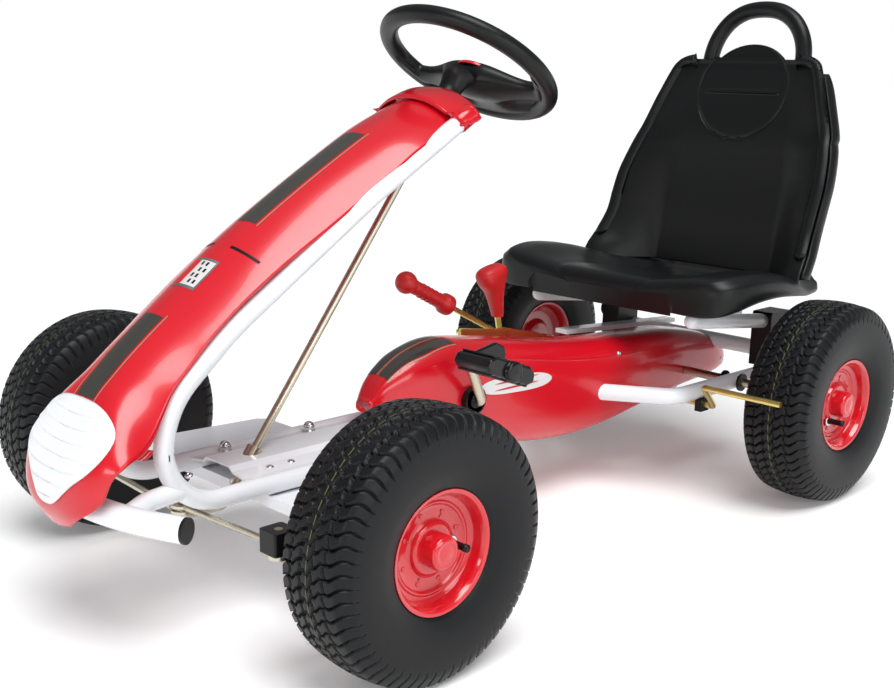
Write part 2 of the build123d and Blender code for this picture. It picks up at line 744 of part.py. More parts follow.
parts["selector_lever"] = selector_lever()
parts["selector_knob"] = selector_knob()
parts["lever_bracket"] = lever_bracket()
parts["brake_bar"] = brake_bar()
parts["brake_brackets"] = brake_brackets()
for side in SIDES:
    parts["chain_guard_" + side] = chain_guard(side)
    parts["knuckle_" + side] = knuckle(side)
    parts["tie_rod_" + side] = tie_rod(side)
    parts["rod_end_" + side] = rod_end(side)
    parts["pedal_" + side] = pedal(side)
    wheel_nodes("front_" + side, side, 0, front_wheel_y)
    wheel_nodes("rear_" + side, side, rear_axle_x, rear_wheel_y)
parts["seat_pan"] = seat_pan()
parts["seat_back"] = seat_back()
parts["seat_rails"] = seat_rails()

os.makedirs("parts", exist_ok=True)
for node, shape in parts.items():
    export_step(Pos(front_axle_x, 0, 0) * shape, "parts/" + node + ".step")
print(len(parts), "parts written")
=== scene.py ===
import math
from math import cos, pi, radians, sin

import bpy
import numpy as np
from mathutils import Matrix, Vector
from mathutils.bvhtree import BVHTree


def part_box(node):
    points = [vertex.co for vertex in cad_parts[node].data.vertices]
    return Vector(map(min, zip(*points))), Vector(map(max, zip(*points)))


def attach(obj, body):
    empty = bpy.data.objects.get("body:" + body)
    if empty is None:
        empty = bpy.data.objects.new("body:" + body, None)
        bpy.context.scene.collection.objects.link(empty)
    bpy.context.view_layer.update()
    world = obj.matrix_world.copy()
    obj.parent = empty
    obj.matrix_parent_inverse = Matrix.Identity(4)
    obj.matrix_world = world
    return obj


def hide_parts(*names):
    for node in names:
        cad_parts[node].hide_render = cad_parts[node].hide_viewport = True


# Looks of the pedal go kart. Lengths are in millimetres, with X counted from the front axle, +Y to
# the driver's left and +Z up. place() turns them into the row's frame.

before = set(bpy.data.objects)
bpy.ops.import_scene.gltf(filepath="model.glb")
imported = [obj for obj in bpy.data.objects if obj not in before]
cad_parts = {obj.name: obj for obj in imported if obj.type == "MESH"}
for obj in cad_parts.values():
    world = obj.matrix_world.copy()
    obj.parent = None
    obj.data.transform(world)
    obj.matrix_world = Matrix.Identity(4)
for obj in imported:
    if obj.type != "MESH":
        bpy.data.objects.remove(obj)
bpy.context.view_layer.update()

TYRE_R = 130.0
TREAD_ROWS = 62
TREAD_STEPS = 16            # mesh steps along one row of tread blocks
GROOVE_DEPTH = 5.2
FAIRING_WALL = 2.6
GUARD_POWER = 3.4           # how square the chain guard's section is
FRONT_AXLE = (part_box("tyre_front_left")[0].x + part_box("tyre_front_left")[1].x) * 500
REAR_AXLE = (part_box("tyre_rear_left")[0].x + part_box("tyre_rear_left")[1].x) * 500 - FRONT_AXLE
FRONT_Y = (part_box("tyre_front_left")[0].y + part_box("tyre_front_left")[1].y) * 500
REAR_Y = (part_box("tyre_rear_left")[0].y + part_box("tyre_rear_left")[1].y) * 500
COLUMN_TOP = (-309.0, 0.0, 532.0)
COLUMN_AXIS = Vector((-0.60656, 0, 0.79504))
CRANK = (-303.0, 164.0)     # X and Z of the crank's axis
PEDAL_THROW = (35, 57)      # X and Z from the crank's axis to a pedal's pin
PEDAL_Y = 112
PEDAL_TILT = {"left": radians(-20), "right": radians(10)}
WHEEL_TILT = radians(4.5)   # steering wheel against its column
WHEEL_BACK = 8              # middle of the steering wheel behind the column
WHEEL_CLOCK = radians(11)   # the bridge's turn in the plane of the wheel
RING_R = 99.5
RING_H = 24                 # the ring's height above the column's top
PAN_WALL = 3.5
PAN_SKIRT_LOW = 239
BACK_WALL = 7.0
BACK_NOTCH_Z = 446
OVAL = (73.0, 67.0, 513.0)  # half width, half height and middle Z of the oval on the seat back
DECK_Z = 140                # top of the floor pan


# ---- materials ----
def material(name, color, rough, metal=0.0, coat=0.0, grain=0.0, grain_scale=400.0, mottle=0.0,
             spec=0.5):
    """grain is a fine bump, and mottle is how far the roughness wanders."""
    mat = bpy.data.materials.new(name)
    mat.use_nodes = True
    nodes, links = mat.node_tree.nodes, mat.node_tree.links
    shader = nodes["Principled BSDF"]
    shader.inputs["Base Color"].default_value = (*color, 1)
    shader.inputs["Roughness"].default_value = rough
    shader.inputs["Metallic"].default_value = metal
    shader.inputs["Specular IOR Level"].default_value = spec
    shader.inputs["Coat Weight"].default_value = coat
    shader.inputs["Coat Roughness"].default_value = 0.06
    if grain or mottle:
        where = nodes.new("ShaderNodeTexCoord")
        noise = nodes.new("ShaderNodeTexNoise")
        noise.inputs["Scale"].default_value = grain_scale
        noise.inputs["Detail"].default_value = 4
        links.new(where.outputs["Object"], noise.inputs["Vector"])
    if grain:
        bump = nodes.new("ShaderNodeBump")
        bump.inputs["Strength"].default_value = grain
        bump.inputs["Distance"].default_value = 0.0006
        links.new(noise.outputs["Fac"], bump.inputs["Height"])
        links.new(bump.outputs["Normal"], shader.inputs["Normal"])
    if mottle:
        spread = nodes.new("ShaderNodeMapRange")
        spread.inputs["To Min"].default_value = max(0.02, rough - mottle)
        spread.inputs["To Max"].default_value = rough + mottle
        links.new(noise.outputs["Fac"], spread.inputs["Value"])
        links.new(spread.outputs["Result"], shader.inputs["Roughness"])
    return mat


RED = material("red_plastic", (0.60, 0.004, 0.014), 0.24, coat=0.35, mottle=0.05, grain_scale=9)
RED_SATIN = material("red_grip", (0.60, 0.012, 0.014), 0.42, grain=0.15, grain_scale=900)
RED_METAL = material("red_enamel", (0.58, 0.006, 0.014), 0.16, coat=0.8)
WHITE = material("white_paint", (0.84, 0.865, 0.90), 0.22, coat=0.4, mottle=0.04, grain_scale=14)
ZINC = material("zinc", (0.60, 0.56, 0.44), 0.30, metal=1.0, mottle=0.10, grain_scale=60)
YELLOW_ZINC = material("yellow_zinc", (0.74, 0.62, 0.20), 0.30, metal=1.0, mottle=0.10, grain_scale=40)
BRIGHT = material("bright_zinc", (0.70, 0.72, 0.72), 0.16, metal=1.0)
STEEL = material("oiled_steel", (0.30, 0.30, 0.31), 0.38, metal=1.0)
BLACK = material("black_satin", (0.005, 0.0055, 0.006), 0.36, grain=0.2, grain_scale=1600, mottle=0.06,
                 spec=0.28)
BLACK_GLOSS = material("black_gloss", (0.005, 0.005, 0.006), 0.2, mottle=0.05, grain_scale=30, spec=0.4)
TYRE = material("tyre_rubber", (0.005, 0.0055, 0.0065), 0.40, grain=0.25, grain_scale=700, mottle=0.06,
                spec=0.24)
STRIPE = material("stripe_film", (0.035, 0.034, 0.028), 0.28, coat=0.6)
PIN = material("pinstripe_film", (0.30, 0.26, 0.16), 0.3)
LABEL = material("label_film", (0.72, 0.70, 0.70), 0.3, coat=0.4)
MOULD_LINE = material("mould_line", (0.13, 0.15, 0.04), 0.6)


# ---- mesh helpers ----
def place(p):
    return Vector(((p[0] + FRONT_AXLE) / 1000, p[1] / 1000, p[2] / 1000))


def build(name, verts, faces, mat, body):
    mesh = bpy.data.meshes.new(name)
    mesh.from_pydata([tuple(place(v)) for v in verts], [], faces)
    mesh.validate()
    mesh.update()
    mesh.materials.append(mat)
    mesh.polygons.foreach_set("use_smooth", [True] * len(mesh.polygons))
    ob = bpy.data.objects.new(name, mesh)
    bpy.context.scene.collection.objects.link(ob)
    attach(ob, body)
    return ob


def bevelled(ob, width):
    mod = ob.modifiers.new("bevel", "BEVEL")
    mod.width = width / 1000
    mod.segments = 3
    mod.limit_method = "ANGLE"
    mod.angle_limit = radians(30)
    mod.harden_normals = True
    return ob


def solidified(ob, thick, offset=-1.0):
    mod = ob.modifiers.new("thick", "SOLIDIFY")
    mod.thickness = thick / 1000
    mod.offset = offset
    mod.use_even_offset = True
    return ob


def grid_faces(nu, nv, wrap_u=False, wrap_v=False):
    faces = []
    for i in range(nu if wrap_u else nu - 1):
        for j in range(nv if wrap_v else nv - 1):
            a, b = i, (i + 1) % nu
            c, d = j, (j + 1) % nv
            faces.append((a * nv + c, b * nv + c, b * nv + d, a * nv + d))
    return faces


def sheet(name, rows, mat, body, wrap_u=False, wrap_v=False, caps=False):
    """A skin over rows of points; caps closes the first and the last row with a flat face."""
    nu, nv = len(rows), len(rows[0])
    verts = [p for row in rows for p in row]
    faces = grid_faces(nu, nv, wrap_u, wrap_v)
    if caps:
        faces.append(tuple(range(nv))[::-1])
        faces.append(tuple((nu - 1) * nv + k for k in range(nv)))
    return build(name, verts, faces, mat, body)


def spline(points, n):
    """n points along a Catmull-Rom curve through points, evenly spread over its length."""
    p = np.array(points, float)
    p = np.vstack([2 * p[0] - p[1], p, 2 * p[-1] - p[-2]])
    dense = []
    for i in range(1, len(p) - 2):
        for t in np.linspace(0, 1, 40, endpoint=False):
            a, b, c, d = p[i - 1], p[i], p[i + 1], p[i + 2]
            dense.append(0.5 * (2 * b + (c - a) * t + (2 * a - 5 * b + 4 * c - d) * t * t
                                + (3 * b - a - 3 * c + d) * t ** 3))
    dense.append(p[-2])
    dense = np.array(dense)
    return resample(dense, n)


def resample(points, n):
    points = np.array(points, float)
    run = np.concatenate([[0], np.cumsum(np.linalg.norm(np.diff(points, axis=0), axis=1))])
    at = np.linspace(0, run[-1], n)
    return np.stack([np.interp(at, run, points[:, k]) for k in range(points.shape[1])], 1)


def frames(path):
    """Two directions square to the path at each of its points, without twist."""
    path = np.array(path, float)
    tangents = np.gradient(path, axis=0)
    tangents /= np.linalg.norm(tangents, axis=1)[:, None]
    side = np.cross(tangents[0], (0, 0, 1) if abs(tangents[0][2]) < 0.9 else (1, 0, 0))
    out = []
    for t in tangents:
        side = side - t * np.dot(side, t)
        side /= np.linalg.norm(side)
        out.append((side, np.cross(t, side)))
    return out


def tube(name, path, radius, mat, body, segs=20):
    """A bar along path; radius is one number or one for each point of the path."""
    radii = np.full(len(path), float(radius)) if np.isscalar(radius) else np.array(radius, float)
    rows = []
    for p, (u, v), r in zip(np.array(path, float), frames(path), radii):
        rows.append([p + u * r * cos(a) + v * r * sin(a) for a in np.linspace(0, 2 * pi, segs, False)])
    return sheet(name, rows, mat, body, wrap_v=True, caps=True)


def turned(name, profile, centre, axis, mat, body, segs=64):
    """profile is [(distance along axis, radius)], turned around axis through centre."""
    w = Vector(axis).normalized()
    u = w.orthogonal().normalized()
    v = w.cross(u)
    rows = []
    for h, r in profile:
        rows.append([Vector(centre) + w * h + (u * cos(a) + v * sin(a)) * r
                     for a in np.linspace(0, 2 * pi, segs, False)])
    return sheet(name, rows, mat, body, wrap_v=True, caps=True)


def prism(name, outline, low, high, to_point, mat, body, bevel):
    """outline, a list of 2-D points, extruded from low to high; to_point(a, b, c) gives the 3-D point."""
    n = len(outline)
    verts = [to_point(a, b, low) for a, b in outline] + [to_point(a, b, high) for a, b in outline]
    faces = [tuple(range(n))[::-1], tuple(range(n, 2 * n))]
    faces += [(k, (k + 1) % n, n + (k + 1) % n, n + k) for k in range(n)]
    return bevelled(build(name, verts, faces, mat, body), bevel)


def ellipse(rx, ry, n, power):
    """n points around an oval that grows squarer as power goes up from 2."""
    out = []
    for a in np.linspace(0, 2 * pi, n, False):
        c, s = cos(a), sin(a)
        out.append((rx * math.copysign(abs(c) ** (2 / power), c), ry * math.copysign(abs(s) ** (2 / power), s)))
    return out


def paint(names, mat):
    for n in names:
        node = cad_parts[n]
        node.data.materials.clear()
        node.data.materials.append(mat)


# ---- fairing ----
# Sections along the fairing: crown X and Z, edge X, half width, edge Z, and how late the section bends.
RUN = [
    (-262, 518.5, -272, 66, 491, 2.2), (-240, 511.5, -252, 66, 483, 2.2), (-184, 489, -197, 65.5, 464, 2.1),
    (-142, 469, -157, 65.5, 440, 2.0), (-69, 428.5, -86, 65.5, 398, 1.9), (-2, 386.5, -20, 65.5, 362, 1.9),
    (52, 346.5, 34, 65.5, 329, 1.9), (92, 317, 72, 65.5, 300, 1.9), (119, 296.5, 98, 66, 275, 2.1),
    (140, 279, 122, 67.5, 252, 2.4), (158, 262.5, 138, 71, 229, 2.9), (172, 249, 151, 75.5, 211, 3.6),
    (184, 234, 165, 79.5, 201, 4.4), (196, 214, 180, 82.5, 197, 4.9), (205, 198, 190, 83, 192, 5.0),
    (212, 184, 197, 79, 184, 4.5), (217, 171, 201, 76, 174, 4.2), (220, 160, 204, 73, 163, 4.0),
    (222, 148, 210, 63, 152, 3.5), (220, 136, 215, 46, 141, 3.0), (214, 124, 212, 22, 126, 2.5),
]


def arch_row(x, z, edge_x, half, edge_z, power, across=61):
    """One section: it leaves the crown (x, z) and bends down to the edges at +half and -half."""
    row = []
    for u in np.linspace(-1, 1, across):
        d = abs(u) ** power
        row.append((x + (edge_x - x) * d, half * u, z + (edge_z - z) * d))
    return row


def surface_of(rows):
    """A tree of the skin over rows, to shoot rays at."""
    verts = [Vector(p) for row in rows for p in row]
    return BVHTree.FromPolygons(verts, grid_faces(len(rows), len(rows[0])))


def fairing():
    rows = [arch_row(*station) for station in spline(RUN, 110)]
    shell = sheet("fairing_shell", rows, RED, "chassis")
    solidified(shell, FAIRING_WALL, -1.0)
    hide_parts("fairing")
    return rows


def film_row(skin, row, lift):
    """The points of row dropped square to the fairing's slope onto its skin, then lifted a little."""
    d = Vector((-0.55, 0, -0.835)).normalized()
    verts = []
    for p in row:
        start = Vector(p) - d * 400
        hit, normal, _, _ = skin.ray_cast(start, d)
        if hit is None:
            hit, normal = Vector(p), -d
        if normal.dot(d) > 0:
            normal = -normal
        verts.append(hit + normal * lift)
    return verts


def stripe(name, skin, x0, x1, y0, y1, mat, lift, n=40, across=6):
    """A film strip on top of the fairing between x0 and x1 along the crown."""
    crown = spline([(r[0], r[1]) for r in RUN], 400)
    pick = resample([p for p in crown if x0 <= p[0] <= x1], n)
    rows = []
    for k in range(across + 1):
        y = y0 + (y1 - y0) * k / across
        rows.append(film_row(skin, [(x, y, z) for x, z in pick], lift))
    return sheet(name, rows, mat, "chassis")


def fairing_stripes(skin):
    for tag, x0, x1 in (("lower", 98, 178), ("upper", -158, -12)):
        stripe("stripe_" + tag, skin, x0, x1, -15, 15, STRIPE, 0.35)
        for y in (-18.4, 18.4):
            stripe(f"pinstripe_{tag}_{int(y)}", skin, x0 - 2, x1 + 2, y - 0.7, y + 0.7, PIN, 0.35, across=1)


def emblem(skin):
    """A plain chequered plaque with a bar on each side."""
    stripe("emblem_plate", skin, 34, 68, -19, 19, BRIGHT, 0.4)
    stripe("emblem_field", skin, 36, 66, -17, 17, LABEL, 0.7)
    for i in range(4):
        for j in range(2):
            x = 38 + 6.6 * i
            y = 2 + 7 * j + 3.5 * (i % 2)
            stripe(f"emblem_chip_{i}{j}", skin, x, x + 4.5, y - 3, y, BLACK, 0.9, n=4, across=2)
    stripe("emblem_corner", skin, 36, 66, -17, -6, RED_SATIN, 0.8)
    for side in (-1, 1):
        stripe(f"wing_{side}", skin, 15, 19, side * 14, side * 50, BLACK, 0.4, n=4, across=12)


def cap():
    """The hood over the top of the fairing, with a socket for the end of each loop tube."""
    stations = [(-236, 512.5, -246, 69.2, 486, 2.2), (-237, 514.0, -248, 70.6, 484, 2.3),
                (-250, 519, -258, 71.6, 485, 2.4), (-262, 521.3, -266, 72.2, 487, 2.6),
                (-272, 521, -273, 72.2, 489, 2.8), (-279, 518, -277, 71.8, 491, 2.8)]
    rows = [arch_row(*station) for station in spline(stations, 36)]
    hood = sheet("cap_hood", rows, RED, "chassis")
    solidified(hood, FAIRING_WALL, -1.0)
    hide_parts("fairing_cap")
    for side in (-1, 1):
        socket = [(-252, side * 59.5, 485.2), (-254, side * 59.5, 486.3), (-271, side * 59.5, 496.2),
                  (-273, side * 59.5, 497.4)]
        tube(f"cap_socket_{side}", socket, [10.4, 11.4, 11.8, 11.0], RED, "chassis", segs=32)


def grille(skin):
    side = [(0, 241), (24, 240), (42, 235.5), (55.5, 227), (63.5, 217), (66, 207), (63, 197), (52.5, 184.5),
            (38, 173), (26, 162), (16, 153), (8, 149), (0, 148)]
    right = spline(side, 40)
    outline = [tuple(p) for p in right] + [(-y, z) for y, z in right[-2:0:-1]]
    middle_z = 198.0
    rings = 56
    rib_pitch = 12.2
    rows = []
    for k in range(rings + 1):
        s = max(0.001, k / rings)
        row = []
        for y, z in outline:
            y, z = y * s, middle_z + (z - middle_z) * s
            hit, _, _, _ = skin.ray_cast(Vector((320, y, z)), Vector((-1, 0, 0)))
            x = hit.x if hit else 200.0
            rim = max(0.0, min(1.0, (s - 0.9) / 0.03))
            phase = (z - 143 - 0.0016 * y * y) / rib_pitch
            rib = 3.4 * abs(sin(pi * phase)) ** 0.6
            edge = -3.4 * max(0.0, (s - 0.97) / 0.03)
            row.append((x + 0.4 + rib * (1 - rim) + 1.8 * rim + edge * 0.6, y, z))
        rows.append(row)
    face = sheet("grille_face", rows, WHITE, "chassis", wrap_v=True)
    solidified(face, 1.5, -1.0)
    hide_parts("nose_grille")


# ---- chain guard ----
# Sections along the guard: X, top, underside and half width; the last number only spaces the sections.
GUARD = [
    (-170, 176, 163, 12, 6), (-184, 196, 156, 20, 12), (-203, 211, 149, 27, 17), (-229, 224, 137, 34, 22),
    (-270, 233, 120, 41, 26), (-310, 231.5, 104, 45, 28), (-396, 219, 86, 46, 28),
    (-487, 204, 75, 46, 26), (-575, 195, 77, 45, 24), (-668, 191, 90, 44, 22),
    (-740, 186, 99, 42, 22), (-820, 170, 105, 37, 20), (-860, 150, 110, 28, 14), (-882, 128, 114, 14, 8),
]


def guard_loop(top, low, half):
    """One section of the guard, narrower towards its top."""
    height = top - low
    mid = (top + low) / 2
    out = []
    for a in np.linspace(-pi / 2, 1.5 * pi, 72, False):
        c, s = cos(a), sin(a)
        k = (abs(c) ** GUARD_POWER + abs(s) ** GUARD_POWER) ** (-1 / GUARD_POWER)
        y, z = half * c * k, mid + height / 2 * s * k
        lift = (z - mid) / height
        y *= 1.0 - 0.20 * max(0.0, lift) ** 1.5
        out.append((y, z))
    return out


def guard():
    stations = spline(GUARD, 110)
    rows = []
    for x, top, low, half, _ in stations:
        rows.append([(x, y, z) for y, z in guard_loop(top, low, half)])
    shell = sheet("guard_shell", rows, RED, "chassis", wrap_v=True, caps=True)
    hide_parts("chain_guard_left", "chain_guard_right")
    closed_rows = [row + [row[0]] for row in rows]
    return surface_of(closed_rows), stations


def side_hit(skin, x, z, side):
    """Where the guard's side is at x and z."""
    hit, _, _, _ = skin.ray_cast(Vector((x, side * 200, z)), Vector((0, -side, 0)))
    return hit


def side_film(skin, row, lift, side):
    """The points (x, z) of row on the guard's side, lifted a little."""
    verts = []
    for x, z in row:
        hit = side_hit(skin, x, z, side)
        y = hit.y if hit else side * 45
        verts.append((x, y + side * lift, z))
    return verts


def guard_stripes(skin, side):
    for name, y0, y1, mat in (("stripe", 3, 24, STRIPE), ("pin_in", 0.4, 1.6, PIN),
                              ("pin_out", 25.6, 26.8, PIN)):
        rows = []
        for y in np.linspace(y0, y1, 7):
            row = []
            for x in np.linspace(-192, -292, 36):
                spread = 0.72 + 0.28 * smooth((-x - 190) / 60)
                hit, _, _, _ = skin.ray_cast(Vector((x, side * y * spread, 400)), Vector((0, 0, -1)))
                row.append((hit.x + 0.3, hit.y, hit.z + 0.5))
            rows.append(row)
        sheet(f"guard_{name}_{side}", rows, mat, "chassis")


def guard_label(skin, side):
    """A blank pointed label with two thin bars in place of its text."""
    middle, length = -381, 65
    rows = []
    for t in np.linspace(-1, 1, 9):
        row = []
        for x in np.linspace(middle - length, middle + length, 40):
            u = (x - middle) / length
            half = 10.5 * max(0.02, 1 - abs(u) ** 3) ** 0.5
            row.append((x, 171 + 0.05 * (x - middle) + t * half))
        rows.append(side_film(skin, row, 0.5, side))
    sheet(f"guard_label_{side}", rows, LABEL, "chassis")
    for z0 in (168, 176):
        rows = []
        for t in (-1, 1):
            line = [(x, z0 + t * 1.2 * (1 - abs((x - middle) / 42) ** 3))
                    for x in np.linspace(middle - 40, middle + 40, 16)]
            rows.append(side_film(skin, line, 0.9, side))
        sheet(f"guard_label_slit_{side}_{z0}", rows, RED_SATIN, "chassis")


def guard_details(skin, stations):
    top = np.array([(s[0], s[1]) for s in stations])[::-1]
    for side in (-1, 1):
        guard_stripes(skin, side)
    for side in (-1, 1):
        shoulder = []
        for x in np.linspace(-232, -700, 60):
            z = np.interp(x, top[:, 0], top[:, 1]) - 21
            shoulder.append((x, side_hit(skin, x, z, side).y - side * 0.8, z))
        radii = [1.8 * sin(pi * k / 59) ** 0.5 + 0.01 for k in range(60)]
        tube(f"guard_shoulder_{side}", shoulder, radii, RED, "chassis", segs=10)
        for x, z in ((-196, 168), (-590, 176), (-850, 128)):
            screw(f"guard_screw_{side}_{int(-x)}", (x, side_hit(skin, x, z, side).y, z), (0, side, 0), 3.4)
        guard_label(skin, side)
        boss = Vector((CRANK[0], side * 44, CRANK[1]))
        turned(f"crank_boss_{side}", [(0, 17), (6, 17), (8, 15), (8, 9), (4, 7.5)], boss, (0, side, 0),
               BLACK, "chassis")


def screw(name, at, axis, r, body="chassis"):
    head = [(-1, r * 0.9), (0.2, r), (0.9, r * 0.96), (1.7, r * 0.7), (1.9, r * 0.45), (1.2, r * 0.4),
            (1.1, 0.05)]
    turned(name, head, at, axis, BRIGHT, body, segs=24)


# ---- wheels ----
def tyre_radius(y):
    """Radius of the tread's land at a distance y from the middle of the tyre."""
    return TYRE_R - 2.6 * (abs(y) / 30) ** 2 - 13.0 * max(0.0, (abs(y) - 33) / 10.5) ** 1.8


def tread_depth(turn, y):
    """1 on a block and 0 in a groove; turn is counted in tread rows."""
    edges = (0, 7.5, 22.0, 43.5)
    wave = 1.6 * sin(2 * pi * turn)
    a = abs(y)
    column = 0 if a < edges[1] else 1 if a < edges[2] else 2
    sign = 1 if y >= 0 else -1
    shift = (0.0, 0.5, 0.02)[column] + (0.25 if sign > 0 else 0.0) * (column > 0)
    local = (a - edges[column]) / (edges[column + 1] - edges[column])
    skew = 0.22 * sin(2 * pi * (local - 0.5)) + 0.10 * local * (column > 0)
    lateral = (turn + shift + skew * sign) % 1.0
    block = min(lateral, 1 - lateral)
    across = min(abs(a - edges[1] - wave * 0.6), abs(a - edges[2] + wave * 0.7))
    depth = min(smooth((block - 0.06) / 0.05), smooth((across - 0.5) / 1.0))
    if column == 0:
        depth = max(depth, smooth(2.6 - a) * 0.55)
    return depth


def smooth(t):
    t = max(0.0, min(1.0, t))
    return t * t * (3 - 2 * t)


def tyre_mesh():
    """The tyre's skin from bead to bead, around the local Y axis."""
    around = TREAD_ROWS * TREAD_STEPS
    tread_y = list(np.linspace(-43, 43, 75))
    wall = spline([(43.2, 108), (43.6, 100), (43.2, 90), (41.6, 78), (39.0, 69), (36.8, 63.5), (35.6, 60.6),
                   (33.4, 59.0), (31, 57)], 18)
    profile = [(-y, r, False) for y, r in wall[::-1]] + [(y, None, True) for y in tread_y]
    profile += [(y, r, False) for y, r in wall]
    rows = []
    table = [[tread_depth(k / TREAD_STEPS, y) for y in tread_y] for k in range(TREAD_STEPS)]
    for k in range(around):
        a = 2 * pi * k / around
        row = []
        for j, (y, r, tread) in enumerate(profile):
            if tread:
                r = tyre_radius(y) - GROOVE_DEPTH * (1 - table[k % TREAD_STEPS][j - len(wall)])
            row.append((r * sin(a), y, r * cos(a)))
        rows.append(row)
    verts = [tuple(Vector(p) / 1000) for row in rows for p in row]
    mesh = bpy.data.meshes.new("tyre_mesh")
    mesh.from_pydata(verts, [], grid_faces(len(rows), len(rows[0]), wrap_u=True))
    mesh.update()
    mesh.materials.append(TYRE)
    mesh.polygons.foreach_set("use_smooth", [True] * len(mesh.polygons))
    return mesh


def local_turned(name, profile, mat, segs=72):
    """A mesh turned about the local Y axis; profile is [(y, radius)]."""
    verts, n = [], len(profile)
    for y, r in profile:
        verts += [(r * sin(a) / 1000, y / 1000, r * cos(a) / 1000) for a in np.linspace(0, 2 * pi, segs, False)]
    mesh = bpy.data.meshes.new(name)
    mesh.from_pydata(verts, [], grid_faces(n, segs, wrap_v=True))
    mesh.update()
    mesh.materials.append(mat)
    mesh.polygons.foreach_set("use_smooth", [True] * len(mesh.polygons))
    return mesh


def rounded_profile(points, radius=1.2):
    """Corners of a profile cut back by radius so that they catch light."""
    out = []
    for k, p in enumerate(points):
        p = np.array(p, float)
        if k in (0, len(points) - 1):
            out.append(tuple(p))
            continue
        a, b = np.array(points[k - 1], float), np.array(points[k + 1], float)
        da, db = np.linalg.norm(a - p), np.linalg.norm(b - p)
        ra, rb = min(radius, da * 0.45), min(radius, db * 0.45)
        qa, qb = p + (a - p) / da * ra, p + (b - p) / db * rb
        for t in (0, 0.33, 0.67, 1):
            out.append(tuple((1 - t) ** 2 * qa + 2 * t * (1 - t) * p + t * t * qb))
    return out


def rim_mesh():
    outer = [(30.5, 56.5), (33.2, 57.5), (34.8, 59.5), (35.4, 58.6), (34.2, 55), (29, 52.6), (21.5, 50.6),
             (19.5, 47), (19.0, 45.2), (20.4, 43.8), (20.2, 42), (18.0, 40.5), (16.8, 36), (16.6, 29),
             (17.6, 26.2), (21.5, 24), (22.5, 21.4), (22.5, 14)]
    inner = [(-y, r) for y, r in outer[:7]] + [(-20, 48), (-16, 42), (-14, 30), (-22, 24), (-22, 8)]
    return (local_turned("rim_outer", rounded_profile(outer), RED_METAL, 96),
            local_turned("rim_inner", rounded_profile(inner), RED_METAL, 96))


def hub_mesh():
    nose = [(20, 17.2), (33, 17.0), (37.5, 16.0), (39.6, 12), (38.6, 9.5), (39.2, 6), (39.8, 0.01)]
    return local_turned("hub_cap_mesh", rounded_profile(nose), RED_METAL, 64)


def local_object(name, mesh, spot, side, body):
    """A mesh made around the local Y axis, with its outer side turned to side."""
    ob = bpy.data.objects.new(name, mesh)
    bpy.context.scene.collection.objects.link(ob)
    turn = 0 if side > 0 else pi
    ob.matrix_world = Matrix.Translation(spot) @ Matrix.Rotation(turn, 4, "Z")
    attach(ob, body)
    return ob


def wheels():
    tyre = tyre_mesh()
    outer, inner = rim_mesh()
    hub = hub_mesh()
    mark = local_turned("mark_mesh", rounded_profile([(0, 2.6), (1.4, 2.2), (1.6, 0.01)], 0.5), RED_METAL, 16)
    bar = local_turned("mark_bar", rounded_profile([(0, 1.6), (1.3, 1.3), (1.5, 0.01)], 0.4), RED_METAL, 12)
    stem_profile = [(0, 4.6), (2, 4.6), (4, 3.6), (16, 3.4), (17, 3.8), (21, 3.8), (22, 0.01)]
    stem = local_turned("valve_stem", stem_profile, BLACK, 20)
    base_profile = rounded_profile([(-1, 7.5), (0.8, 7.5), (1.6, 6.4), (1.6, 0.01)], 0.5)
    base = local_turned("valve_base", base_profile, BRIGHT, 24)
    spots = {"front_left": (0, FRONT_Y, 1, "front_wheel_left", 0.35),
             "front_right": (0, FRONT_Y, -1, "front_wheel_right", 1.9),
             "rear_left": (REAR_AXLE, REAR_Y, 1, "rear_axle", 3.6),
             "rear_right": (REAR_AXLE, REAR_Y, -1, "rear_wheel_right", 5.0)}
    for tag, (x, y, side, body, phase) in spots.items():
        spot = place((x, side * y, TYRE_R))
        skin = local_object("tyre_skin_" + tag, tyre, spot, side, body)
        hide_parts("tyre_" + tag)
        dish = local_object("rim_dish_" + tag, outer, spot, side, body)
        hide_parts("rim_" + tag)
        local_object("rim_back_" + tag, inner, spot, side, body)
        nose = local_object("hub_nose_" + tag, hub, spot, side, body)
        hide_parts("hub_cap_" + tag)
        for k in range(8):
            a = phase + 2 * pi * k / 8
            for tip, r in ((mark, 34.5), (bar, 29.8 if k % 2 else 39.0)):
                at = spot + Vector((r * sin(a), side * 16.4, r * cos(a))) / 1000
                local_object(f"{tip.name}_{tag}_{k}", tip, at, side, body)
        valve = {"front_left": radians(-92), "rear_left": radians(150)}.get(tag, 2.0 + phase)
        at = spot + Vector((25 * sin(valve), side * 19, 25 * cos(valve))) / 1000
        local_object("valve_base_" + tag, base, at, side, body)
        local_object("valve_stem_" + tag, stem, at, side, body)
        dashes(tag, x, side * y, body)


def dashes(tag, x, y, body):
    """The thin yellow-green moulding line around the middle of the tread, on the centre blocks only."""
    verts, faces = [], []
    r = TYRE_R + 0.12
    for k in range(TREAD_ROWS):
        a0 = 2 * pi * (k + 0.14) / TREAD_ROWS
        a1 = 2 * pi * (k + 0.80) / TREAD_ROWS
        base = len(verts)
        for a in np.linspace(a0, a1, 4):
            for dy in (-0.45, 0.45):
                verts.append((x + r * sin(a), y + dy + 1.5, TYRE_R + r * cos(a)))
        faces += [(base + 2 * i, base + 2 * i + 1, base + 2 * i + 3, base + 2 * i + 2) for i in range(3)]
    build("tread_line_" + tag, verts, faces, MOULD_LINE, body)


